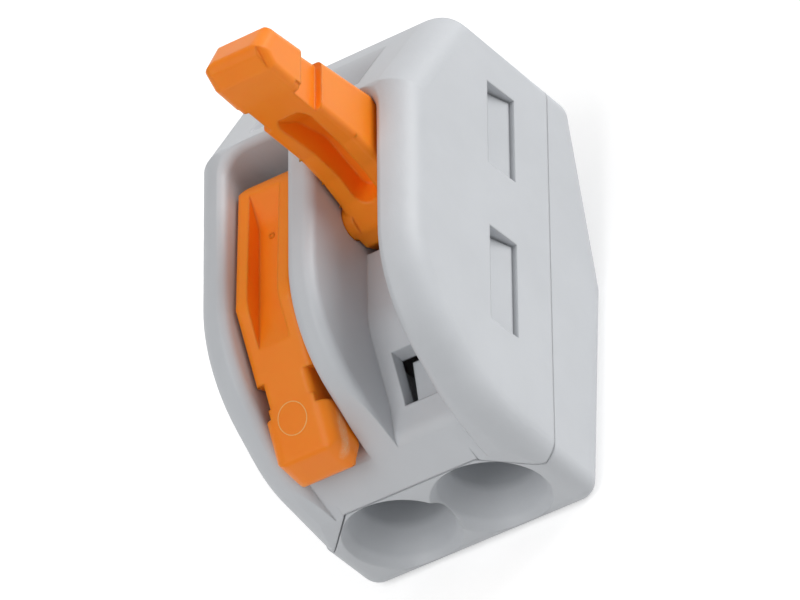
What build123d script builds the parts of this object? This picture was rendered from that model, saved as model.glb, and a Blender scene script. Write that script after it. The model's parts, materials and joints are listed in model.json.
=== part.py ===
"""A lever wire connector for two conductors, with its left lever closed and its right lever open.

Sizes are in millimetres and angles in degrees. Outlines are drawn in the moulding frame, where x runs across
the connector, y runs rearwards and z runs up from the seam between the cover and the base. The connector
rests on the front facet of its base, so the moulding frame leans forwards by the angle of that facet.
"""
import os
from math import atan2, cos, degrees, radians, sin, tan

from build123d import *

os.makedirs("parts", exist_ok=True)

# Outside of the housing
width = 12.9
pitch = 5.0
top_z = 10.7
front_y = -0.65
rear_y = 20.7
apron_z = 2.2
apron_lean = 23.6
bow_radius = 6.45
wall_front_lean = 8.0
wall_shoulder_lean = 35.4
wall_bow_radius = 7.0
wall_shoulder_radius = 6.0
wall_runout_lean = 20.0
rear_slope_y = 15.2
rear_slope_z = 7.25
rear_top_radius = 0.8
rear_low_radius = 0.6
keel_y = 11.35
keel_z = -4.5
front_facet_lean = 3.5
rear_facet_lean = 14.3
ground_y = 9.6
seam_gap = 0.04
tongue_gap = 0.05
fit_gap = 0.05

# Rounding of the long edges: across, deep, and the lean of its run-out to the front
crown_width = 1.85
crown_depth = 1.45
slot_edge_radius = 0.5
slot_runout_lean = 32
corner_radius = 0.95
side_draft = 2.0

# Walls, slots and chambers of the cover
side_wall = 1.0
front_wall = 1.25
slot_width = 3.5
slot_rear_y = 15.05
slot_floor_z = 6.4
slot_floor_y = 5.7
slot_sill_y = 2.0
slot_sill_z = 4.68
slot_lip_lean = 9.0
slot_lip_radius = 0.9
slot_corner = 1.2
lip_skin = 0.02
rear_room_lift = 0.3
scoop_half = 3.1
scoop_front_y = 16.0
scoop_floor_y = 17.4
scoop_floor_z = 7.5
scoop_edge_y = 18.95
scoop_roll_radius = 1.5
pit_y = 9.6
rear_wall_y = 15.95
rear_room_y = 16.6
loft_half = 3.8
loft_top_z = 9.3
rear_chamber_y = 19.1
rear_chamber_half = 4.9
chamber_top_z = 5.2
partition_z = 1.95
test_opening_width = 1.9
test_opening_y = 1.85
test_opening_length = 2.35
tongue_foot = 6.05
tongue_top = 3.62

# Latch windows of the cover, and the arms of the base that snap into them
window_z = 2.53
window_height = 2.0
window_spans = ((4.75, 9.95), (13.5, 18.15))
arm_inner = 4.75
arm_outer = 5.3
arm_top_z = 5.05
lug_outer = 6.15
lug_crest = 5.65
lug_gap = 0.12

# Wire entries of the base
wire_z = -0.6
rim_radius = 2.8
rim_depth = 0.5
mouth_radius = 2.5
mouth_depth = 1.9
guide_radius = 2.0
guide_end_y = 4.6
neck_end_y = 5.4
strip_radius = 1.35
wire_stop_y = 16.5
block_top_z = 1.9
ledge_front_y = 1.95
ledge_rear_y = 4.1
ledge_front_z = 4.15
ledge_rear_z = 4.6
ledge_step_z = 3.3
ledge_inner = 0.55
ledge_outer = 0.88
spring_pit_y = 6.9
spring_pit_half = 1.8
spring_pit_floor_z = -2.65
bar_seat_y = 9.2
bar_seat_rear_y = 12.7
rear_block_z = 1.35

# Levers, measured from the pivot
pivot_y = 10.8
pivot_z = 7.44
lever_travel = 110
trunnion_radius = 0.85
trunnion_gap = 0.05
trunnion_reach = 0.5
grip_width = 3.4
grip_foot = -9.1
neck_width = 2.5
neck_foot = -7.35
neck_lean = 20.0
rail_width = 3.24
grip_edge_width = 0.65
grip_edge_depth = 0.5
belly_edge = 0.35
rail_edge = 0.3
tip_corner = 0.65
heel_corner = 1.15
channel_width = 1.7
channel_depth = 0.95
hollow_width = 2.16
hollow_draft = 11.5

# Current bar and cage springs
bar_thickness = 1.0
bar_z = 0.4
bar_span = 8.8
bar_front_y = 7.1
bar_tongue_width = 2.2
strip_thickness = 0.45
strip_width = 3.3
spring_leg_y = 8.0
spring_foot_y = 9.4
spring_rear_y = 16.1
spring_bow_z = 4.5
spring_window_width = 2.5
spring_window_height = 3.4
spring_hook_height = 0.7
clamp_travel = 2.0

poles = (-pitch / 2, pitch / 2)
slot_half = slot_width / 2
wall_inner = pitch / 2 + slot_half
lean = radians(front_facet_lean)
ground_z = keel_z + tan(lean) * (keel_y - ground_y)
moulding = Plane(
    origin=(0, ground_z * sin(lean) - ground_y * cos(lean), -ground_z * cos(lean) - ground_y * sin(lean)),
    x_dir=(1, 0, 0),
    z_dir=(0, -sin(lean), cos(lean)),
)
across = Vector(1, 0, 0)


def place(x, y, z):
    """A point of the moulding frame."""
    return moulding.from_local_coords((x, y, z))


def side_plane(x):
    """The plane across x, whose own x runs rearwards and own y runs up."""
    return Plane(origin=place(x, 0, 0), x_dir=moulding.y_dir, z_dir=across)


def front_plane(y):
    """The plane facing forwards at y, whose own x runs across and own y runs up."""
    return Plane(origin=place(0, y, 0), x_dir=across, z_dir=-moulding.y_dir)


def edge_plane(y, z, facing):
    """A plane square to an outer face, whose own y is the way that the face faces in the side view."""
    outward = moulding.y_dir * cos(radians(facing)) + moulding.z_dir * sin(radians(facing))
    return Plane(origin=place(0, y, z), x_dir=across, z_dir=across.cross(outward))


def edge_profile(plane, reach, depth, half=width / 2, inwards=True):
    """What rounding takes off two long edges of a face, whose material lies inwards or outwards of them."""
    centre = half - reach if inwards else half + reach
    with BuildSketch(plane) as profile:
        with Locations((half, 0), (-half, 0)):
            Rectangle(2 * reach, 2 * depth)
        with Locations((centre, -depth), (-centre, -depth)):
            Ellipse(reach, depth, mode=Mode.SUBTRACT)
    return profile.sketch


def arc_point(arc, lean_angle):
    """Where an arc of the side view has that lean; an arc has a centre y and z, a radius and two leans."""
    centre_y, centre_z, radius = arc[:3]
    turned = radians(lean_angle)
    return centre_y - radius * cos(turned), centre_z + radius * sin(turned)


def round_arc(arc, run, *shape):
    """Round two edges along an arc of the side view, and straight on from its end."""
    start_lean, end_lean = arc[3:]
    profile = edge_profile(edge_plane(*arc_point(arc, start_lean), 180 - start_lean), *shape)
    revolve(profile, Axis(place(0, *arc[:2]), across), start_lean - end_lean, mode=Mode.SUBTRACT)
    runout = edge_profile(edge_plane(*arc_point(arc, end_lean), 180 - end_lean), *shape)
    extrude(runout, amount=run, mode=Mode.SUBTRACT)


def side_outline(planes, points, radii):
    """A closed outline in the side view, drawn on one or more side planes."""
    with BuildSketch(*planes) as outline:
        with BuildLine():
            FilletPolyline(*points, radius=radii, close=True)
        make_face()
    return outline.sketch


def front_tongue(gap):
    """The tongue of the base that shows in the front face, or the notch for it with a gap around."""
    with BuildSketch(front_plane(front_y)) as tongue:
        with BuildLine():
            Polyline(
                (-tongue_foot - gap, -3 * fit_gap),
                (tongue_foot + gap, -3 * fit_gap),
                (tongue_top + gap, apron_z + gap),
                (-tongue_top - gap, apron_z + gap),
                close=True,
            )
        make_face()
    return tongue.sketch


middle = [side_plane(0)]
pole_planes = [side_plane(x) for x in poles]
crest_y = front_y + (top_z - apron_z) * tan(radians(apron_lean))
bow_y = crest_y + bow_radius * tan(radians(45 - apron_lean / 2))
slope_fall = (top_z - rear_slope_z) / (rear_y - rear_slope_y)
rear_slope_facing = degrees(atan2(rear_y - rear_slope_y, top_z - rear_slope_z))
half_length = rear_y - front_y
partition_half = pitch / 2 - slot_half
lip_slope = tan(radians(slot_lip_lean))
apron_slope = tan(radians(apron_lean))
lip_rise = slot_sill_z - lip_slope * (slot_sill_y - front_y + apron_z * apron_slope)
lip_z = lip_rise / (1 - lip_slope * apron_slope)
lip_y = front_y + (lip_z - apron_z) * apron_slope - lip_skin
lip_foot_z = lip_z - 2 * slot_lip_radius
lip_foot_y = lip_y - 2 * slot_lip_radius * apron_slope
top_half = width / 2 - top_z * tan(radians(side_draft))

# The right wall leans inwards by its draft, and its top edge follows the same lean
draft = radians(side_draft)
side_out = across * cos(draft) + moulding.z_dir * sin(draft)
side_up = moulding.z_dir * cos(draft) - across * sin(draft)
crown_lift = crown_width * sin(draft)

# The outline of the walls: a front that leans a little, a shoulder and a bow, all tangent to each other
shoulder_turn = radians((90 - wall_shoulder_lean) / 2)
front_turn = radians((wall_shoulder_lean - wall_front_lean) / 2)
wall_bow_y = bow_y + lip_skin
wall_shoulder_y = wall_bow_y - wall_bow_radius * tan(shoulder_turn)
shoulder_slope = tan(radians(wall_shoulder_lean))
front_slope = tan(radians(wall_front_lean))
bend_rise = front_y - wall_shoulder_y + top_z * shoulder_slope - apron_z * front_slope
bend_z = bend_rise / (shoulder_slope - front_slope)
bend_y = front_y + (bend_z - apron_z) * front_slope
bend_reach = wall_shoulder_radius * tan(front_turn)
front_lean = radians(wall_front_lean)
shoulder_y = bend_y - bend_reach * sin(front_lean) + wall_shoulder_radius * cos(front_lean)
shoulder_z = bend_z - bend_reach * cos(front_lean) - wall_shoulder_radius * sin(front_lean)
shoulder_run = (top_z - bend_z) / cos(radians(wall_shoulder_lean))
shoulder_run -= bend_reach + wall_bow_radius * tan(shoulder_turn)
rib_bow = (bow_y, top_z - bow_radius, bow_radius, 90, slot_runout_lean)
wall_bow = (wall_bow_y, top_z - wall_bow_radius, wall_bow_radius, 90, wall_shoulder_lean)
wall_shoulder = (shoulder_y, shoulder_z, wall_shoulder_radius, wall_shoulder_lean, wall_front_lean)
inner_shoulder = (*wall_shoulder[:4], wall_runout_lean)


def crown_profile(origin, turn):
    """What rounding takes off the right wall's top edge, turned so many degrees towards the front."""
    up = side_up * cos(radians(turn)) - moulding.y_dir * sin(radians(turn))
    with BuildSketch(Plane(origin=origin, x_dir=side_out, z_dir=side_out.cross(up))) as profile:
        Rectangle(2 * crown_width, 2 * (crown_depth + crown_lift))
        with Locations((-crown_width, -crown_depth)):
            Ellipse(crown_width, crown_depth + crown_lift, mode=Mode.SUBTRACT)
    return profile.sketch


def on_wall(y, z):
    """A point of the right wall's drafted face."""
    return place(top_half, 0, top_z) + moulding.y_dir * y - side_up * (top_z - z)


# The rounding of both walls: along the top, down the bow and its shoulder, and down the rear slope
with BuildPart() as crowns:
    extrude(crown_profile(on_wall(wall_bow_y, top_z), 0), amount=wall_bow_y - rear_y)
    for arc, run in ((wall_bow, shoulder_run), (wall_shoulder, top_z)):
        start_lean, end_lean = arc[3:]
        start_profile = crown_profile(on_wall(*arc_point(arc, start_lean)), 90 - start_lean)
        revolve(start_profile, Axis(on_wall(*arc[:2]), side_out), start_lean - end_lean)
        extrude(crown_profile(on_wall(*arc_point(arc, end_lean)), 90 - end_lean), amount=run)
    slope_profile = crown_profile(place(top_half, rear_slope_y, top_z), rear_slope_facing - 90)
    extrude(slope_profile, amount=half_length, both=True)
    mirror(about=Plane.YZ)

# Housing cover: the outer block, with the long edges of its walls rounded over
with BuildPart() as housing_cover:
    cover_points = (
        (rear_y, 0),
        (front_y, 0),
        (front_y, apron_z),
        (crest_y, top_z),
        (rear_slope_y, top_z),
        (rear_y, rear_slope_z),
    )
    cover_radii = [0, 0, 0, bow_radius, rear_top_radius, rear_low_radius]
    extrude(side_outline(middle, cover_points, cover_radii), amount=wall_inner + fit_gap, both=True)
    wall_points = (
        (rear_y, 0),
        (front_y, 0),
        (front_y, apron_z),
        (bend_y, bend_z),
        (wall_shoulder_y, top_z),
        (rear_slope_y, top_z),
        (rear_y, rear_slope_z),
    )
    wall_radii = [0, 0, 0, wall_shoulder_radius, wall_bow_radius, rear_top_radius, rear_low_radius]
    wall_planes = [side_plane(wall_inner), side_plane(-width / 2)]
    extrude(side_outline(wall_planes, wall_points, wall_radii), amount=width / 2 - wall_inner)
    with BuildSketch(front_plane(front_y)) as drafts:
        with BuildLine():
            Polyline((width / 2, 0), (width / 2 + 1, top_z), (top_half, top_z), close=True)
        make_face()
        mirror(about=Plane.YZ)
    extrude(drafts.sketch, amount=-half_length, mode=Mode.SUBTRACT)
    add(crowns.part, mode=Mode.SUBTRACT)
    for y, facing in ((front_y, 180), (rear_y, 0)):
        corner = edge_profile(edge_plane(y, 0, facing), corner_radius, corner_radius)
        extrude(corner, amount=half_length, both=True, mode=Mode.SUBTRACT)

    # A lever slot on each side of the centre rib, with rounded rear corners
    with BuildPart() as slots:
        slot_points = (
            (lip_y - 2, lip_foot_z),
            (lip_foot_y, lip_foot_z),
            (lip_y, lip_z),
            (slot_sill_y, slot_sill_z),
            (slot_floor_y, slot_floor_z),
            (slot_rear_y, slot_floor_z),
            (slot_rear_y, top_z + 1),
            (lip_y - 2, top_z + 1),
        )
        slot_radii = [0, 0, slot_lip_radius, 3, 3, 0, 0, 0]
        extrude(side_outline(pole_planes, slot_points, slot_radii), amount=slot_half, both=True)
        with BuildSketch(moulding):
            with Locations((0, slot_rear_y - half_length / 2)):
                with GridLocations(pitch, 0, 2, 1):
                    RectangleRounded(slot_width, half_length, slot_corner)
        extrude(amount=top_z + 2, mode=Mode.INTERSECT)
    add(slots.part, mode=Mode.SUBTRACT)

    # The pit for the heel of each lever, through the rear of the slot floor
    pit_points = (
        (pit_y, chamber_top_z - seam_gap),
        (slot_rear_y, chamber_top_z - seam_gap),
        (slot_rear_y, slot_floor_z + rear_room_lift),
        (pit_y, slot_floor_z + rear_room_lift),
    )
    extrude(side_outline(pole_planes, pit_points, [0] * 4), amount=slot_half, both=True, mode=Mode.SUBTRACT)

    # The edges of the slots are rounded, along the top and down the bow
    for x in poles:
        with BuildLine(Plane(origin=place(x, 0, top_z), x_dir=across, z_dir=moulding.z_dir)) as brim:
            brim_points = (
                (slot_half, bow_y),
                (slot_half, slot_rear_y),
                (-slot_half, slot_rear_y),
                (-slot_half, bow_y),
            )
            FilletPolyline(*brim_points, radius=slot_corner)
        bead_plane = Plane(origin=place(x + slot_half, bow_y, top_z), x_dir=across, z_dir=moulding.y_dir)
        with BuildSketch(bead_plane) as bead:
            Rectangle(2 * slot_edge_radius, 2 * slot_edge_radius)
            with Locations((slot_edge_radius, slot_edge_radius)):
                Circle(slot_edge_radius, mode=Mode.SUBTRACT)
        sweep(bead.sketch, path=brim.line, mode=Mode.SUBTRACT)
    round_arc(rib_bow, half_length, slot_edge_radius, slot_edge_radius, partition_half)
    round_arc(wall_bow, shoulder_run, slot_edge_radius, slot_edge_radius, wall_inner, False)
    round_arc(inner_shoulder, half_length, slot_edge_radius, slot_edge_radius, wall_inner, False)

    # A scoop in the rear slope, whose rear edge rolls over into it
    scoop_edge_z = top_z - (scoop_edge_y - rear_slope_y) * slope_fall
    scoop_points = (
        (rear_y, rear_slope_z + lip_skin),
        (scoop_edge_y, scoop_edge_z + lip_skin),
        (scoop_floor_y, scoop_floor_z),
        (scoop_front_y, scoop_floor_z),
        (scoop_front_y, top_z + 1),
        (rear_y, top_z + 1),
    )
    scoop = side_outline(middle, scoop_points, [0, scoop_roll_radius, 0.4, 0.4, 0, 0])
    extrude(scoop, amount=scoop_half, both=True, mode=Mode.SUBTRACT)

    # The hollow under the slot floors, on each side of the partition below the rib
    chamber_front_y = front_y + front_wall
    chamber_points = (
        (chamber_front_y, -1),
        (chamber_front_y, apron_z + seam_gap),
        (chamber_front_y + 0.5, apron_z + 1.3),
        (slot_sill_y, slot_sill_z - 0.9),
        (slot_floor_y - 0.7, chamber_top_z),
        (rear_chamber_y, chamber_top_z),
        (rear_chamber_y, -1),
    )
    chamber_width = width / 2 - side_wall - partition_half
    chamber_planes = [side_plane(partition_half), side_plane(-partition_half - chamber_width)]
    chamber = side_outline(chamber_planes, chamber_points, [0] * len(chamber_points))
    extrude(chamber, amount=chamber_width, mode=Mode.SUBTRACT)
    partition_points = (
        (chamber_front_y, -1),
        (chamber_front_y, partition_z),
        (rear_chamber_y, partition_z),
        (rear_chamber_y, -1),
    )
    under_partition = side_outline(middle, partition_points, [0] * len(partition_points))
    extrude(under_partition, amount=partition_half + seam_gap, both=True, mode=Mode.SUBTRACT)

    # The room behind the slots, where the cage springs bend round, which is higher beside the scoop
    room_top_z = slot_floor_z + rear_room_lift
    rear_points = (
        (slot_rear_y - seam_gap, chamber_top_z - seam_gap),
        (slot_rear_y - seam_gap, room_top_z),
        (rear_room_y, room_top_z),
        (rear_chamber_y, chamber_top_z + rear_room_lift),
        (rear_chamber_y, chamber_top_z - seam_gap),
    )
    rear_width = rear_chamber_half - partition_half
    rear_planes = [side_plane(partition_half), side_plane(-rear_chamber_half)]
    rear_room = side_outline(rear_planes, rear_points, [0] * len(rear_points))
    extrude(rear_room, amount=rear_width, mode=Mode.SUBTRACT)
    loft_points = (
        (rear_wall_y, room_top_z - seam_gap),
        (rear_wall_y, loft_top_z),
        (rear_wall_y + 0.4, loft_top_z),
        (rear_chamber_y, rear_slope_z - 0.4),
        (rear_chamber_y, chamber_top_z),
        (rear_room_y, room_top_z - seam_gap),
    )
    loft_width = rear_chamber_half - loft_half
    loft_planes = [side_plane(loft_half), side_plane(-rear_chamber_half)]
    loft_room = side_outline(loft_planes, loft_points, [0] * len(loft_points))
    extrude(loft_room, amount=loft_width, mode=Mode.SUBTRACT)

    # Test openings through the sloping slot floors
    with BuildSketch(moulding.offset(slot_floor_z)):
        with Locations((0, test_opening_y + test_opening_length / 2)):
            with GridLocations(pitch, 0, 2, 1):
                Rectangle(test_opening_width, test_opening_length)
    extrude(amount=chamber_top_z - slot_floor_z - 2, mode=Mode.SUBTRACT)

    # Sockets for the lever trunnions, in the walls and in the rib
    with BuildSketch(*pole_planes):
        with Locations((pivot_y, pivot_z)):
            Circle(trunnion_radius + trunnion_gap)
    extrude(amount=slot_half + trunnion_reach + trunnion_gap, both=True, mode=Mode.SUBTRACT)

    # Latch windows through both side walls
    with BuildSketch(side_plane(0)):
        for span_front, span_rear in window_spans:
            with Locations(((span_front + span_rear) / 2, window_z + window_height / 2)):
                Rectangle(span_rear - span_front, window_height)
    extrude(amount=width, both=True, mode=Mode.SUBTRACT)

    # The notch in the front that the tongue of the base fills
    extrude(front_tongue(tongue_gap), amount=-front_wall - fit_gap, mode=Mode.SUBTRACT)
housing_cover.part.label = "housing_cover"
export_step(housing_cover.part, "parts/housing_cover.step")

# Wire entry base: the outer block below the seam, with its rounded edges
with BuildPart() as wire_entry_base:
    base_points = (
        (front_y, -seam_gap),
        (front_y, keel_z + tan(lean) * (keel_y - front_y)),
        (keel_y, keel_z),
        (rear_y, keel_z + tan(radians(rear_facet_lean)) * (rear_y - keel_y)),
        (rear_y, -seam_gap),
    )
    extrude(side_outline(middle, base_points, [0] * len(base_points)), amount=width / 2, both=True)
    heights = [(moulding.to_local_coords(edge.center()).Z, edge) for edge in wire_entry_base.edges()]
    fillet([edge for height, edge in heights if height < -2 * seam_gap], radius=corner_radius)

    # The blocks inside the cover: wire guides in front, wire stops behind
    block_front_y = front_y + front_wall + fit_gap
    block_points = (
        (block_front_y, -1),
        (block_front_y, block_top_z),
        (spring_pit_y, block_top_z),
        (spring_pit_y, bar_z - fit_gap),
        (bar_seat_rear_y, bar_z - fit_gap),
        (bar_seat_rear_y, rear_block_z),
        (rear_chamber_y - fit_gap, rear_block_z),
        (rear_chamber_y - fit_gap, -1),
    )
    extrude(side_outline(middle, block_points, [0] * len(block_points)), amount=arm_outer, both=True)
    with BuildPart() as tongue:
        extrude(front_tongue(0), amount=-front_wall - fit_gap)
        tongue_corner = edge_profile(edge_plane(front_y, 0, 180), corner_radius, corner_radius)
        extrude(tongue_corner, amount=half_length, both=True, mode=Mode.SUBTRACT)
    add(tongue.part)

    # A ledge on each wire guide, which stands in one side of the test opening
    ledge_points = (
        (ledge_front_y, wire_z),
        (ledge_front_y, ledge_front_z),
        (ledge_rear_y, ledge_rear_z),
        (ledge_rear_y, wire_z),
    )
    ledge_planes = [side_plane(x - ledge_inner) for x in poles]
    extrude(side_outline(ledge_planes, ledge_points, [0] * 4), amount=ledge_inner + ledge_outer)
    with BuildSketch(moulding.offset(wire_z)):
        with Locations((0, (ledge_front_y + ledge_rear_y) / 2)):
            with GridLocations(pitch, 0, 2, 1):
                Rectangle(2 * ledge_outer, ledge_rear_y - ledge_front_y)
    extrude(amount=ledge_step_z - wire_z)

    # Pits for the two cage springs
    spring_pit_points = (
        (spring_pit_y, spring_pit_floor_z),
        (bar_seat_y, spring_pit_floor_z),
        (bar_seat_y, block_top_z),
        (spring_pit_y, block_top_z),
    )
    pits = side_outline(pole_planes, spring_pit_points, [0] * 4)
    extrude(pits, amount=spring_pit_half, both=True, mode=Mode.SUBTRACT)

    # Wire entries: a funnel, a guide for the insulation, and a bore for the bare end of the wire
    entry_points = (
        (front_y - 1, wire_z),
        (front_y - 1, wire_z + rim_radius + 1),
        (front_y, wire_z + rim_radius),
        (front_y + rim_depth, wire_z + mouth_radius),
        (front_y + mouth_depth, wire_z + guide_radius),
        (guide_end_y, wire_z + guide_radius),
        (neck_end_y, wire_z + strip_radius),
        (wire_stop_y, wire_z + strip_radius),
        (wire_stop_y, wire_z),
    )
    for x in poles:
        entry = side_outline([side_plane(x)], entry_points, [0, 0, 0.4, 0.8, 1, 0, 0, 0, 0])
        revolve(entry, axis=Axis(place(x, 0, wire_z), moulding.y_dir), mode=Mode.SUBTRACT)

    # Latch arms along both sides, each with a lug that fills its window
    arm_planes = [side_plane(arm_inner), side_plane(-arm_outer)]
    with BuildSketch(*arm_planes) as arms:
        for span_front, span_rear in window_spans:
            with Locations(((span_front + span_rear) / 2, arm_top_z / 2 - fit_gap)):
                Rectangle(span_rear - span_front, arm_top_z)
    extrude(arms.sketch, amount=arm_outer - arm_inner)
    for span_front, span_rear in window_spans:
        with BuildSketch(front_plane(span_front + lug_gap)) as lugs:
            with BuildLine() as half_lug:
                Polyline(
                    (arm_inner, window_z + lug_gap),
                    (lug_outer, window_z + lug_gap),
                    (lug_crest, window_z + window_height - lug_gap),
                    (arm_inner, window_z + window_height - lug_gap),
                    close=True,
                )
                mirror(about=Plane.YZ)
            make_face()
        extrude(lugs.sketch, amount=span_front - span_rear + 2 * lug_gap)
wire_entry_base.part.label = "wire_entry_base"
export_step(wire_entry_base.part, "parts/wire_entry_base.step")


def lever_plane(x, opening):
    """The side plane of a lever opened by so many degrees, with its origin on the pivot."""
    turn = radians(opening)
    rearward = moulding.y_dir * cos(turn) - moulding.z_dir * sin(turn)
    return Plane(origin=place(x, pivot_y, pivot_z), x_dir=rearward, z_dir=across)


# Levers: a grip at the tip, two rails along a channel, and a heel that presses the cage spring
tip = (-11.25, -0.65)
tip_foot = (-11.45, -2.35)
tip_slope = atan2(tip[1] - tip_foot[1], tip[0] - tip_foot[0])
grip_root = (-8.8, 0.45)
neck_top = (-7.7, 0.975)
bend = (-4.3, 2.6)
heel_top = (2.8, 2.4)
heel_end = (3.2, 0.8)
heel_reach = 2.95
heel_foot = (0.2, -0.8)
rail_foot = (-2.6, -0.38)
underside = (-4.3, -0.68)
grip_heel = (-8.7, -2.24)
grip_belly = (-10.2, -2.7)
lever_points = (
    tip,
    grip_root,
    bend,
    heel_top,
    heel_end,
    (1.9, 0.1),
    (1.1, -0.62),
    heel_foot,
    (-1.2, -0.4),
    rail_foot,
    underside,
    grip_heel,
    grip_belly,
    (-11.1, -2.66),
    tip_foot,
)
lever_radii = [0.3, 1.5, 2, 1.3, 0.25, 0.3, 0.3, 0.5, 0.8, 1, 1, 1, 0.3, 0, 0.4]
channel_floor = bend[1] - channel_depth
channel_points = (
    (-7.5, 3.2),
    (-7.5, channel_floor),
    (0.4, channel_floor),
    (2.6, 2.75),
    (2.6, 3.2),
)
hollow_plane_up = -2.6
hollow_points = (
    (-7.5, -4),
    (-7.5, -2.1),
    (-6.0, -0.3),
    (-4.3, 0.55),
    (-1.1, 0.7),
    (-0.45, -0.2),
    (-0.45, -4),
)
hollow_centre = (hollow_points[0][0] + hollow_points[-1][0]) / 2
hollow_length = hollow_points[-1][0] - hollow_points[0][0]
for name, x, opening in (("lever_left", poles[0], 0), ("lever_right", poles[1], lever_travel)):
    side = [lever_plane(x, opening)]
    along = side[0].x_dir
    upward = side[0].y_dir
    pivot = side[0].origin
    with BuildPart() as cavity:
        hollow = side_outline(side, hollow_points, [0, 0, 1.5, 1.5, 0.4, 0.4, 0])
        extrude(hollow, amount=hollow_width / 2, both=True)
        mouth = pivot + along * hollow_centre + upward * hollow_plane_up
        with BuildSketch(Plane(origin=mouth, x_dir=along, z_dir=upward)):
            SlotOverall(hollow_length, hollow_width)
        extrude(amount=bend[1] - hollow_plane_up, taper=hollow_draft, mode=Mode.INTERSECT)
    with BuildPart() as lever:
        extrude(side_outline(side, lever_points, lever_radii), amount=grip_width / 2, both=True)

        # The neck and the rails are narrower than the grip, and begin on a slant
        slant = 4 * tan(radians(neck_lean))
        for half, slim_front, slim_rear in (
            (rail_width / 2, neck_foot, heel_top[0] + 4),
            (neck_width / 2, grip_foot, neck_foot),
        ):
            flanks = [lever_plane(x + half, opening), lever_plane(x - half - 1, opening)]
            slim_points = (
                (slim_front - slant, 4),
                (slim_front + slant, -4),
                (slim_rear + slant, -4),
                (slim_rear - slant, 4),
            )
            extrude(side_outline(flanks, slim_points, [0] * 4), amount=1, mode=Mode.SUBTRACT)

        # The edges of the grip and of the rails are rounded, and so are the corners of the tip
        for start, end, reach, depth, half in (
            (tip, grip_root, grip_edge_width, grip_edge_depth, grip_width / 2),
            (grip_root, bend, rail_edge, rail_edge, rail_width / 2),
            (grip_root, neck_top, rail_edge, rail_edge, neck_width / 2),
            (bend, heel_top, rail_edge, rail_edge, rail_width / 2),
            (heel_foot, (-1.2, -0.4), rail_edge, rail_edge, rail_width / 2),
            ((-1.2, -0.4), rail_foot, rail_edge, rail_edge, rail_width / 2),
            (rail_foot, underside, rail_edge, rail_edge, rail_width / 2),
            (underside, grip_heel, rail_edge, rail_edge, rail_width / 2),
            (grip_heel, grip_belly, belly_edge, belly_edge, grip_width / 2),
            (grip_belly, tip_foot, belly_edge, belly_edge, grip_width / 2),
        ):
            slope = atan2(end[1] - start[1], end[0] - start[0])
            direction = along * cos(slope) + upward * sin(slope)
            corner_point = pivot + along * start[0] + upward * start[1]
            profile_plane = Plane(origin=corner_point, x_dir=across, z_dir=-direction)
            run = ((end[0] - start[0]) ** 2 + (end[1] - start[1]) ** 2) ** 0.5
            extrude(edge_profile(profile_plane, reach, depth, half), amount=-run, mode=Mode.SUBTRACT)
        tip_face_up = along * cos(tip_slope) + upward * sin(tip_slope)
        tip_face_in = along * sin(tip_slope) - upward * cos(tip_slope)
        tip_point = pivot + along * tip[0] + upward * tip[1]
        heel_point = pivot + along * heel_reach
        for plane, radius, half in (
            (Plane(origin=tip_point, x_dir=tip_face_in, z_dir=tip_face_up), tip_corner, grip_width / 2),
            (Plane(origin=heel_point, x_dir=-along, z_dir=upward), heel_corner, rail_width / 2),
        ):
            with BuildSketch(plane) as corners:
                with Locations((0, half), (0, -half)):
                    Rectangle(2 * radius, 2 * radius)
                with Locations((radius, half - radius), (radius, radius - half)):
                    Circle(radius, mode=Mode.SUBTRACT)
            extrude(corners.sketch, amount=4, both=True, mode=Mode.SUBTRACT)

        channel = side_outline(side, channel_points, [0, 0, 1.5, 0, 0])
        extrude(channel, amount=channel_width / 2, both=True, mode=Mode.SUBTRACT)
        add(cavity.part, mode=Mode.SUBTRACT)

        # Trunnions on both flanks
        trunnion_planes = [
            lever_plane(x + neck_width / 2, opening),
            lever_plane(x - slot_half - trunnion_reach, opening),
        ]
        with BuildSketch(*trunnion_planes) as disc:
            Circle(trunnion_radius)
        extrude(disc.sketch, amount=slot_half + trunnion_reach - neck_width / 2)
    lever.part.label = name
    export_step(lever.part, f"parts/{name}.step")

# Current bar: a strip across both poles, with a tongue through the window of each cage spring
with BuildPart() as current_bar:
    with BuildSketch(moulding.offset(bar_z)):
        with Locations((0, (bar_seat_y + bar_seat_rear_y) / 2)):
            Rectangle(bar_span, bar_seat_rear_y - bar_seat_y - 2 * fit_gap)
        with Locations((0, (bar_front_y + bar_seat_y) / 2 + 1)):
            with GridLocations(pitch, 0, 2, 1):
                Rectangle(bar_tongue_width, bar_seat_y - bar_front_y + 2)
    extrude(amount=bar_thickness)
current_bar.part.label = "current_bar"
export_step(current_bar.part, "parts/current_bar.step")

# Cage springs: a foot on the bar, a bend behind, a bow over the top, and a leg whose window clamps the wire
strip_z = bar_z + bar_thickness + strip_thickness / 2
for name, x, pressed, bow_rear_z, radii in (
    ("cage_spring_left", poles[0], 0, 6.33, [1.9, 1.9, 0.8]),
    ("cage_spring_right", poles[1], clamp_travel, 5.35, [1.65, 1.4, 0.8]),
):
    bow_front_z = spring_bow_z - pressed
    leg_end_z = bar_z - fit_gap - spring_hook_height - pressed
    with BuildPart() as spring:
        with BuildSketch(side_plane(x)):
            with BuildLine() as strip_line:
                FilletPolyline(
                    (spring_foot_y, strip_z),
                    (spring_rear_y, strip_z),
                    (spring_rear_y, bow_rear_z),
                    (spring_leg_y, bow_front_z),
                    (spring_leg_y, leg_end_z),
                    radius=radii,
                )
            trace(line_width=strip_thickness)
        extrude(amount=strip_width / 2, both=True)
        with BuildSketch(front_plane(spring_leg_y)):
            with Locations((x, leg_end_z + spring_hook_height + spring_window_height / 2)):
                Rectangle(spring_window_width, spring_window_height)
        extrude(amount=strip_thickness, both=True, mode=Mode.SUBTRACT)
    spring.part.label = name
    export_step(spring.part, f"parts/{name}.step")
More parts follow.
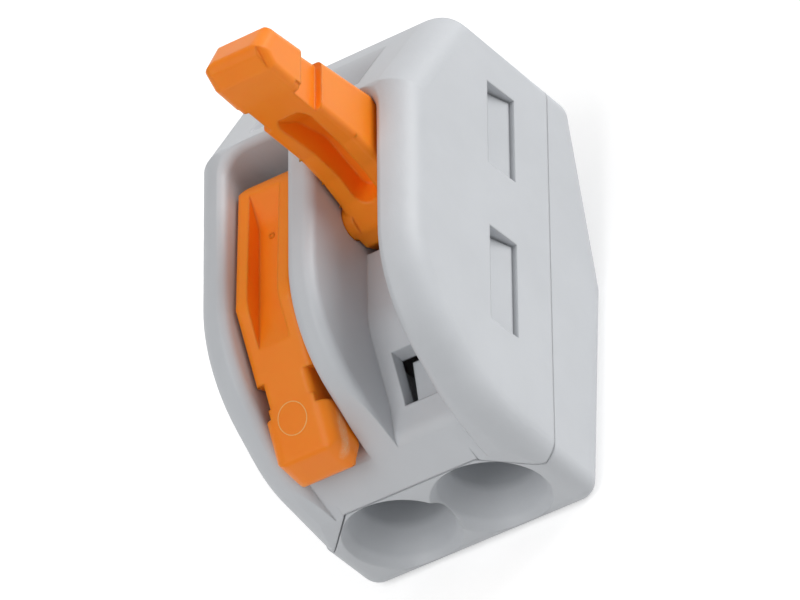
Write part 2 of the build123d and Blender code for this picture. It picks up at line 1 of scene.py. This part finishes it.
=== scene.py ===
# %% [markdown]
# # A lever wire connector for two conductors
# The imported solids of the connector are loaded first. They are the fixed frame of the scene, already at
# their real size in metres, so nothing here moves or resizes them. The script then sets the camera, dresses
# every moulding and metal part with a procedural material, and adds the small marks that moulding leaves on
# them. The size of the whole object is measured right away, to compare it with the dressed one at the end.

# %% Load the frame
import json
from math import cos, radians, sin

import bmesh
import bpy
from mathutils import Euler, Matrix, Vector


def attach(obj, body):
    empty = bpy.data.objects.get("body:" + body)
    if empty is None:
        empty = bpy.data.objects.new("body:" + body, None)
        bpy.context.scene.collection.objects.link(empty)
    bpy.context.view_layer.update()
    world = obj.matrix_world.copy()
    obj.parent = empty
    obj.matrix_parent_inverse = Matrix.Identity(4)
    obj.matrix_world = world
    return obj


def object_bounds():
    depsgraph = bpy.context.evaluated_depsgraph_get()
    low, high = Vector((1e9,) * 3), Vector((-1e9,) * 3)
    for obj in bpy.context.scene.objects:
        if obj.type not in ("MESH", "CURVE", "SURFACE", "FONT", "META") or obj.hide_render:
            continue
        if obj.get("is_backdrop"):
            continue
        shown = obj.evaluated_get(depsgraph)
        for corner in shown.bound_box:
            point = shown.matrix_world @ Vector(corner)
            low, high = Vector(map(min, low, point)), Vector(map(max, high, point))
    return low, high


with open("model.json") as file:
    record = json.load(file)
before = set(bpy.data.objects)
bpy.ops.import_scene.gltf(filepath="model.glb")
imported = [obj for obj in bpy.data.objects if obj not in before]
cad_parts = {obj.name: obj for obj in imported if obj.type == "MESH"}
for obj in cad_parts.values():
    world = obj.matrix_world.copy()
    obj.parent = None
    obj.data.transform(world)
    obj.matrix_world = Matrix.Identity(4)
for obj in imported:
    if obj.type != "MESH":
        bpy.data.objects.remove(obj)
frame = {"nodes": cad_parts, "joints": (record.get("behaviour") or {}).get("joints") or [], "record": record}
cad_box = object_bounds()
nodes = frame["nodes"]
print("nodes:", sorted(nodes))
print("size in mm:", [round((high - low) * 1000, 2) for low, high in zip(*cad_box)])

# %% [markdown]
# A long lens far from a small object keeps its edges almost parallel, as a product photographer would
# choose. The camera looks down on the connector from its front right corner, and is rolled so that the
# length of the connector stands upright in the picture. A roll is a turn about the camera's own line of
# sight, so it is multiplied on the right, after the turns that aim the camera.

# %% Camera
camera_azimuth = radians(37.3573)
camera_elevation = radians(38.3293)
camera_roll = radians(48.904)
camera_distance = 0.40468
camera_lens = 393.26
camera_target = Vector((-0.0022441, 0.0023430, 0.0042899))

camera_data = bpy.data.cameras.new("camera")
camera_data.lens = camera_lens
camera_data.sensor_width = 36
camera_data.clip_end = 10
camera = bpy.data.objects.new("camera", camera_data)
level_view = Euler((radians(90) - camera_elevation, 0, camera_azimuth)).to_matrix()
view = level_view @ Matrix.Rotation(-camera_roll, 3, "Z")
camera_place = camera_target + view @ Vector((0, 0, camera_distance))
camera.matrix_world = Matrix.Translation(camera_place) @ view.to_4x4()
bpy.context.scene.collection.objects.link(camera)
bpy.context.scene.camera = camera
print("camera stands at", [round(v, 4) for v in camera.matrix_world.translation])

# %% [markdown]
# Colours are easiest to choose as the 0 to 255 numbers of a picture editor, but Blender's nodes work in
# linear light. This helper turns one into the other, so that every colour below can be written in the
# editor's way.

# %% Colours
def from_picture(red, green, blue):
    """A picture colour in 0 to 255 as a linear colour with full alpha."""
    channels = [value / 255 for value in (red, green, blue)]
    linear = [c / 12.92 if c <= 0.04045 else ((c + 0.055) / 1.055) ** 2.4 for c in channels]
    return (*linear, 1)


print("mid grey in linear light:", round(from_picture(128, 128, 128)[0], 3))

# %% [markdown]
# Several materials here share the same surface effects, so each effect is made once, as a node group with
# named sockets. This helper starts a group: it makes the sockets, and gives back the node tree with its two
# ends. A socket is described by its name, its kind and the value it starts with.

# %% Start a node group
FLOAT, COLOR, VECTOR = "NodeSocketFloat", "NodeSocketColor", "NodeSocketVector"


def start_group(name, inputs, outputs):
    """A new shader node group, with its input and output nodes."""
    group = bpy.data.node_groups.new(name, "ShaderNodeTree")
    for label, kind, value in inputs:
        socket = group.interface.new_socket(name=label, in_out="INPUT", socket_type=kind)
        if value is not None:
            socket.default_value = value
    for label, kind in outputs:
        group.interface.new_socket(name=label, in_out="OUTPUT", socket_type=kind)
    return group, group.nodes.new("NodeGroupInput"), group.nodes.new("NodeGroupOutput")


def add_noise(tree, where, scale, detail=3, roughness=0.5):
    """A noise texture that reads a position; the scale may be a number or a socket."""
    noise = tree.nodes.new("ShaderNodeTexNoise")
    noise.inputs["Detail"].default_value = detail
    noise.inputs["Roughness"].default_value = roughness
    tree.links.new(where, noise.inputs["Vector"])
    if isinstance(scale, (int, float)):
        noise.inputs["Scale"].default_value = scale
    else:
        tree.links.new(scale, noise.inputs["Scale"])
    return noise.outputs["Fac"]


def add_range(tree, value, low, high, to_low=0.0, to_high=1.0):
    """Stretches a value from one range to another, and keeps it within the second."""
    stretch = tree.nodes.new("ShaderNodeMapRange")
    for socket, number in zip(stretch.inputs[1:5], (low, high, to_low, to_high)):
        socket.default_value = number
    tree.links.new(value, stretch.inputs["Value"])
    return stretch.outputs["Result"]


def add_math(tree, operation, first, second):
    """A sum or product of two values, of which the second may be a plain number."""
    node = tree.nodes.new("ShaderNodeMath")
    node.operation = operation
    tree.links.new(first, node.inputs[0])
    if isinstance(second, (int, float)):
        node.inputs[1].default_value = second
    else:
        tree.links.new(second, node.inputs[1])
    return node.outputs[0]


print("helpers for node groups are ready")

# %% [markdown]
# A moulding takes its skin from the steel of its mould. The steel is spark-eroded to an even satin, which
# reads as grain of about a tenth of a millimetre, and larger, softer waves show where the melt cooled
# unevenly. One group makes both: the grain as a height for a Bump node, and the waves as a tone that shifts
# the colour and the gloss a little. The grain size is a scale per metre, because positions are in metres.

# %% Moulded skin
def make_moulded_skin():
    group, start, end = start_group(
        "moulded_skin",
        [("Position", VECTOR, None), ("Grain Scale", FLOAT, 9000.0), ("Wave Scale", FLOAT, 260.0)],
        [("Height", FLOAT), ("Tone", FLOAT)],
    )
    position = start.outputs["Position"]
    grain = add_noise(group, position, start.outputs["Grain Scale"], detail=2)
    waves = add_noise(group, position, start.outputs["Wave Scale"], detail=4, roughness=0.55)
    dimples = add_math(group, "MULTIPLY", add_noise(group, position, 2200.0, detail=1), 0.8)
    group.links.new(add_math(group, "ADD", grain, dimples), end.inputs["Height"])
    group.links.new(add_range(group, waves, 0.3, 0.7), end.inputs["Tone"])
    return group


moulded_skin = make_moulded_skin()
print("group", moulded_skin.name, "gives", [item.name for item in moulded_skin.interface.items_tree])

# %% [markdown]
# Handling leaves fine scratches on the parts that fingers and tools touch. Long thin scratches come from
# noise that is stretched a great deal along one direction and then cut to its narrow middle band. A round
# mask keeps them to one place, whose centre and reach are sockets of the group.

# %% Handling scratches
def make_scratches():
    group, start, end = start_group(
        "handling_scratches",
        [("Position", VECTOR, None), ("Centre", VECTOR, (0, 0, 0)), ("Turn", VECTOR, (0, 0, 0)),
         ("Half Size", VECTOR, (0.001, 0.001, 0.001)), ("Haze", FLOAT, 0.3)],
        [("Mask", FLOAT)],
    )
    patch = group.nodes.new("ShaderNodeMapping")
    patch.vector_type = "TEXTURE"
    patch_inputs = {"Vector": "Position", "Location": "Centre", "Rotation": "Turn", "Scale": "Half Size"}
    for label, socket in patch_inputs.items():
        group.links.new(start.outputs[socket], patch.inputs[label])
    stretch = group.nodes.new("ShaderNodeVectorMath")
    stretch.operation = "MULTIPLY"
    group.links.new(patch.outputs[0], stretch.inputs[0])
    stretch.inputs[1].default_value = (2.0, 1.2, 3.5)
    streaks = add_noise(group, stretch.outputs[0], 5.0, detail=5, roughness=0.8)
    lines = add_range(group, streaks, 0.5, 0.58)
    hazed = add_math(group, "MAXIMUM", lines, start.outputs["Haze"])
    distance = group.nodes.new("ShaderNodeVectorMath")
    distance.operation = "LENGTH"
    group.links.new(patch.outputs[0], distance.inputs[0])
    near = add_range(group, distance.outputs["Value"], 1.0, 0.55)
    group.links.new(add_math(group, "MULTIPLY", hazed, near), end.inputs["Mask"])
    return group


handling_scratches = make_scratches()
print("group", handling_scratches.name, "is ready")

# %% [markdown]
# The housing and the levers are polyamide, a tough plastic with a satin skin that lets a little light in.
# Their materials differ only in numbers, so one function makes both. The Bevel node bends the shading
# normal near sharp edges, as the small radius of a mould does, and feeds the Bump node that adds the grain.
# The light that sinks in is the Principled shader's own subsurface, with its reach set for a wall of a
# millimetre or two.

# %% Polyamide
def place_group(material, group, values):
    """Puts a node group in a material, reading Object coordinates, with its own values."""
    tree = material.node_tree
    coordinates = tree.nodes.get("coordinates") or tree.nodes.new("ShaderNodeTexCoord")
    coordinates.name = "coordinates"
    node = tree.nodes.new("ShaderNodeGroup")
    node.node_tree = group
    tree.links.new(coordinates.outputs["Object"], node.inputs["Position"])
    for label, value in values.items():
        node.inputs[label].default_value = value
    return node


def mix_colours(tree, amount, first, second):
    """Two colours mixed by a mask; the first may be a colour or a socket."""
    mix = tree.nodes.new("ShaderNodeMix")
    mix.data_type = "RGBA"
    tree.links.new(amount, mix.inputs["Factor"])
    if isinstance(first, tuple):
        mix.inputs["A"].default_value = first
    else:
        tree.links.new(first, mix.inputs["A"])
    mix.inputs["B"].default_value = second
    return mix.outputs["Result"]


def make_polyamide(name, deep, pale, gloss, edge_radius, glow, glow_reach):
    """A satin moulded plastic between a deep and a pale shade, with its softened edges."""
    material = bpy.data.materials.new(name)
    material.use_nodes = True
    tree = material.node_tree
    shader = tree.nodes["Principled BSDF"]
    skin = place_group(material, moulded_skin, {})
    tree.links.new(mix_colours(tree, skin.outputs["Tone"], deep, pale), shader.inputs["Base Color"])
    tree.links.new(add_range(tree, skin.outputs["Tone"], 0, 1, *gloss), shader.inputs["Roughness"])
    softened = tree.nodes.new("ShaderNodeBevel")
    softened.samples = 6
    softened.inputs["Radius"].default_value = edge_radius
    bump = tree.nodes.new("ShaderNodeBump")
    bump.inputs["Strength"].default_value = 0.16
    bump.inputs["Distance"].default_value = 0.00002
    tree.links.new(skin.outputs["Height"], bump.inputs["Height"])
    tree.links.new(softened.outputs["Normal"], bump.inputs["Normal"])
    tree.links.new(bump.outputs["Normal"], shader.inputs["Normal"])
    shader.inputs["IOR"].default_value = 1.53
    shader.inputs["Subsurface Weight"].default_value = glow
    shader.inputs["Subsurface Radius"].default_value = glow_reach
    shader.inputs["Subsurface Scale"].default_value = 0.001
    return material


grey_polyamide = make_polyamide(
    "grey_polyamide", deep=from_picture(196, 199, 203), pale=from_picture(202, 205, 209), gloss=(0.44, 0.52),
    edge_radius=0.00014, glow=0.05, glow_reach=(0.4, 0.4, 0.4),
)
print("made", grey_polyamide.name)

# %% [markdown]
# The levers are the same plastic in a strong orange. Orange pigment passes red light further than green, so
# the glow reaches deepest in red, which warms the shaded sides and the thin rails. The closed lever carries
# pale scratches on the flank of its grip, where a fingernail lifts it. A paler orange is a painted highlight
# for the thin rings that the moulding pins leave on the grips: it stands for the light on their raised
# edges.
# Each lever leans with the facet that the connector stands on, and its opening is added to that, so places
# on it are given in its own directions.

# %% Orange levers
pivots = {joint["child"]: Vector(joint["pos_m"]) for joint in frame["joints"]}
facet_lean = radians(3.5)
open_angle = radians(110)
lever_opening = {"lever_left": 0.0, "lever_right": open_angle}
scratch_turn = radians(22)
scratch_half_size = (0.0006, 0.0016, 0.0004)


def lever_axes(lever):
    """The direction from tip to heel of a lever, and the direction that its channel faces."""
    turn = facet_lean - lever_opening[lever]
    return Vector((0, cos(turn), sin(turn))), Vector((0, -sin(turn), cos(turn)))


def lever_point(lever, aside, along_mm, up_mm):
    """A point of a lever, in millimetres from its pivot: aside to the right, along to the heel, and up."""
    along, upward = lever_axes(lever)
    return pivots[lever] + Vector((aside / 1000, 0, 0)) + along * along_mm / 1000 + upward * up_mm / 1000


orange_polyamide = make_polyamide(
    "orange_polyamide", deep=from_picture(252, 134, 20), pale=from_picture(255, 143, 28), gloss=(0.33, 0.42),
    edge_radius=0.0002, glow=0.3, glow_reach=(0.9, 0.25, 0.08),
)
scratched_place = lever_point("lever_left", 1.6, -10.2, -1.25)
scratches = place_group(
    orange_polyamide, handling_scratches,
    {"Centre": scratched_place, "Turn": (scratch_turn, 0, 0), "Half Size": scratch_half_size},
)
lever_tree = orange_polyamide.node_tree
lever_shader = lever_tree.nodes["Principled BSDF"]
lever_shader.inputs["Specular IOR Level"].default_value = 0.3
plain_orange = lever_shader.inputs["Base Color"].links[0].from_socket
scuffed = mix_colours(lever_tree, scratches.outputs["Mask"], plain_orange, from_picture(250, 196, 150))
lever_tree.links.new(scuffed, lever_shader.inputs["Base Color"])
# A paler orange for the grip rings: a painted highlight, standing for the light that catches their raised
# edges.
painted_highlight_orange = make_polyamide(
    "painted_highlight_orange", deep=from_picture(255, 186, 104), pale=from_picture(255, 196, 118), gloss=(0.3, 0.4),
    edge_radius=0.00001, glow=0.1, glow_reach=(0.5, 0.2, 0.1),
)
print("made", orange_polyamide.name, "with scratches at", [round(v * 1000, 2) for v in scratched_place])
print("made", painted_highlight_orange.name)

# %% [markdown]
# The cage springs are rolled from spring steel and the current bar is punched from copper and tinned.
# Rolling leaves fine lines along the strip, and tin is matt and faintly clouded. Noise stretched along the
# strip gives the lines, for the roughness and a slight bump.

# %% Rolled metals
def make_rolled_metal(name, deep, pale, gloss, line_stretch):
    """A bright metal with fine lines along its rolling direction."""
    material = bpy.data.materials.new(name)
    material.use_nodes = True
    tree = material.node_tree
    shader = tree.nodes["Principled BSDF"]
    coordinates = tree.nodes.new("ShaderNodeTexCoord")
    stretch = tree.nodes.new("ShaderNodeMapping")
    stretch.inputs["Scale"].default_value = line_stretch
    tree.links.new(coordinates.outputs["Object"], stretch.inputs["Vector"])
    lines = add_noise(tree, stretch.outputs[0], 4000.0, detail=3, roughness=0.6)
    clouds = add_noise(tree, coordinates.outputs["Object"], 900.0, detail=3)
    tree.links.new(mix_colours(tree, clouds, deep, pale), shader.inputs["Base Color"])
    tree.links.new(add_range(tree, lines, 0.3, 0.7, *gloss), shader.inputs["Roughness"])
    bump = tree.nodes.new("ShaderNodeBump")
    bump.inputs["Strength"].default_value = 0.2
    bump.inputs["Distance"].default_value = 0.00001
    tree.links.new(lines, bump.inputs["Height"])
    tree.links.new(bump.outputs["Normal"], shader.inputs["Normal"])
    shader.inputs["Metallic"].default_value = 1.0
    return material


spring_strip = make_rolled_metal(
    "spring_strip", deep=from_picture(168, 170, 172), pale=from_picture(196, 197, 198), gloss=(0.22, 0.38),
    line_stretch=(1.0, 0.08, 0.08),
)
tinned_strip = make_rolled_metal(
    "tinned_strip", deep=from_picture(186, 183, 177), pale=from_picture(212, 209, 203), gloss=(0.34, 0.5),
    line_stretch=(0.1, 1.0, 1.0),
)
print("made", spring_strip.name, "and", tinned_strip.name)

# %% [markdown]
# Each solid of the frame is dressed by the material slot that the record gives it, so a small table from
# slot to material is enough.

# %% Dress the solids
materials = {
    "housing_grey": grey_polyamide,
    "lever_orange": orange_polyamide,
    "spring_steel": spring_strip,
    "tinned_copper": tinned_strip,
}
for subpart in frame["record"]["subparts"]:
    mesh = nodes[subpart["node"]].data
    mesh.materials.clear()
    mesh.materials.append(materials[subpart["material_slot"]])
    print(subpart["node"], "is", subpart["material_slot"], "with", len(mesh.polygons), "triangles")

# %% [markdown]
# When a moulding has cooled, steel pins push it out of the mould. Plastic creeps into the fine gap round
# each pin, and leaves a thin raised ring. A ray is cast at the solid to find the surface and the way it
# faces, so that the ring lies exactly on it. A small circle stood on edge and spun round the pin's axis
# makes the ring, which is half sunk in the surface. On the grip the ring takes a paler orange, a painted
# highlight for the light on its raised edge, and in the channel the plain one.

# %% Pin witness
ring_sides, ring_steps = 12, 96


def surface_under(node, start, direction):
    """Where a ray meets a solid of the frame, and the way the surface faces there."""
    hit, place, facing, _ = nodes[node].ray_cast(start, direction.normalized(), distance=0.05)
    if not hit:
        raise ValueError(f"the ray misses {node}")
    return place, facing


def finish_piece(name, mesh_builder, material, body):
    """Makes an object of a bmesh, with a material for a slot, on a body of the frame."""
    mesh = bpy.data.meshes.new(name)
    mesh_builder.to_mesh(mesh)
    mesh_builder.free()
    for polygon in mesh.polygons:
        polygon.use_smooth = True
    mesh.materials.append(material)
    piece = bpy.data.objects.new(name, mesh)
    bpy.context.scene.collection.objects.link(piece)
    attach(piece, body)
    return piece


def pin_witness(name, node, start, direction, radius, thickness, material):
    """A thin raised ring on the surface that a ray meets."""
    place, facing = surface_under(node, start, direction)
    ring = bmesh.new()
    bmesh.ops.create_circle(ring, segments=ring_sides, radius=thickness)
    upright = Matrix.Rotation(radians(90), 3, "X")
    bmesh.ops.rotate(ring, cent=(0, 0, 0), matrix=upright, verts=ring.verts[:])
    bmesh.ops.translate(ring, vec=(radius, 0, 0), verts=ring.verts[:])
    bmesh.ops.spin(
        ring, geom=ring.verts[:] + ring.edges[:], cent=(0, 0, 0), axis=(0, 0, 1), dvec=(0, 0, 0),
        angle=radians(360), steps=ring_steps, use_merge=True, use_duplicate=False,
    )
    bmesh.ops.remove_doubles(ring, verts=ring.verts[:], dist=1e-7)
    bmesh.ops.recalc_face_normals(ring, faces=ring.faces[:])
    turn = facing.to_track_quat("Z", "Y").to_matrix().to_4x4()
    bmesh.ops.transform(ring, matrix=Matrix.Translation(place) @ turn, verts=ring.verts[:])
    piece = finish_piece(name, ring, material, node)
    print(name, "lies at", [round(v * 1000, 2) for v in place], "facing", [round(v, 2) for v in facing])
    return piece


grip_pin_radius, grip_ring_thickness = 0.00077, 0.000025
channel_pin_radius, channel_ring_thickness = 0.00013, 0.00005
ray_start_mm = 4
for lever in pivots:
    down = -lever_axes(lever)[1]
    # The grip ring takes the paler orange, a painted highlight on its raised edge.
    pin_witness(
        f"grip_pin_{lever}", lever, lever_point(lever, -0.12, -9.5, ray_start_mm), down,
        grip_pin_radius, grip_ring_thickness, painted_highlight_orange,
    )
    pin_witness(
        f"channel_pin_{lever}", lever, lever_point(lever, -0.14, -0.2, ray_start_mm), down,
        channel_pin_radius, channel_ring_thickness, orange_polyamide,
    )

# %% [markdown]
# The floor is a plain pale sheet. It takes the soft shadow that sets the connector down, and it also has to
# read as white paper. Its surface scatters light as paper does, and for rays that come straight from the
# camera, or by way of a reflection, a little light of its own is added, which lifts it to white but leaves
# the shadow darker than the rest.

# %% Floor
def make_paper():
    material = bpy.data.materials.new("white_paper")
    material.use_nodes = True
    tree = material.node_tree
    tree.nodes.clear()
    output = tree.nodes.new("ShaderNodeOutputMaterial")
    coordinates = tree.nodes.new("ShaderNodeTexCoord")
    fibre = add_noise(tree, coordinates.outputs["Object"], 60.0, detail=3)
    scatter = tree.nodes.new("ShaderNodeBsdfDiffuse")
    tone = mix_colours(tree, fibre, (0.79, 0.79, 0.79, 1), (0.81, 0.81, 0.81, 1))
    tree.links.new(tone, scatter.inputs["Color"])
    lift = tree.nodes.new("ShaderNodeEmission")
    lift.inputs["Strength"].default_value = floor_lift
    paths = tree.nodes.new("ShaderNodeLightPath")
    seen = add_math(tree, "MAXIMUM", paths.outputs["Is Camera Ray"], paths.outputs["Is Glossy Ray"])
    seen = add_math(tree, "MAXIMUM", seen, paths.outputs["Is Transmission Ray"])
    none = tree.nodes.new("ShaderNodeEmission")
    none.inputs["Strength"].default_value = 0.0
    choose = tree.nodes.new("ShaderNodeMixShader")
    tree.links.new(seen, choose.inputs["Fac"])
    tree.links.new(none.outputs[0], choose.inputs[1])
    tree.links.new(lift.outputs[0], choose.inputs[2])
    together = tree.nodes.new("ShaderNodeAddShader")
    tree.links.new(scatter.outputs[0], together.inputs[0])
    tree.links.new(choose.outputs[0], together.inputs[1])
    tree.links.new(together.outputs[0], output.inputs["Surface"])
    return material


floor_lift = 0.46
floor_half_width = 1.5
floor_builder = bmesh.new()
bmesh.ops.create_grid(floor_builder, x_segments=1, y_segments=1, size=floor_half_width)
floor_mesh = bpy.data.meshes.new("floor")
floor_builder.to_mesh(floor_mesh)
floor_builder.free()
floor_mesh.materials.append(make_paper())
floor = bpy.data.objects.new("floor", floor_mesh)
bpy.context.scene.collection.objects.link(floor)
floor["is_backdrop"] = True
print("the floor is", round(floor.dimensions.x, 1), "m wide")

# %% [markdown]
# The light is a bright tent around the object and two large soft lamps. The world gives the even light of
# the tent. The key lamp stands behind and to the right, so that the long side and the rear slope are the
# brightest faces. The weaker front lamp hangs almost overhead and lifts the top and the front out of deep
# shade. A large lamp close by has soft shadow edges, and its power falls with the square of its distance,
# so both are given together.

# %% Light
def soft_lamp(name, direction, distance, size, power):
    """A square lamp that looks at the middle of the object."""
    lamp_data = bpy.data.lights.new(name, "AREA")
    lamp_data.size = size
    lamp_data.energy = power
    lamp = bpy.data.objects.new(name, lamp_data)
    aim = Vector(direction).normalized()
    lamp.location = aim * distance
    lamp.rotation_euler = aim.to_track_quat("Z", "Y").to_euler()
    bpy.context.scene.collection.objects.link(lamp)
    print(name, "gives", power, "W from", round(distance, 2), "m")


tent_strength = 0.45
lamp_distance, lamp_size = 0.6, 0.35

tent = bpy.data.worlds.new("tent")
bpy.context.scene.world = tent
tent.use_nodes = True
tent.node_tree.nodes["Background"].inputs["Color"].default_value = (1, 1, 1, 1)
tent.node_tree.nodes["Background"].inputs["Strength"].default_value = tent_strength
soft_lamp("key_lamp", (0.75, 0.62, 0.26), lamp_distance, lamp_size, power=2.2)
soft_lamp("front_lamp", (-0.10, -0.45, 0.88), lamp_distance, lamp_size, power=1.15)
bpy.context.scene.view_settings.view_transform = "Standard"

# %% [markdown]
# Last, the size of the dressed object is written next to the size of the bare solids. The two should agree,
# because the materials and the small marks must not make the object grow.

# %% Finish
dressed_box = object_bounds()
growth = [(b - a) * 1000 for a, b in zip(cad_box[1] - cad_box[0], dressed_box[1] - dressed_box[0])]
print("the dressed object is larger by", [round(v, 4) for v in growth], "mm")
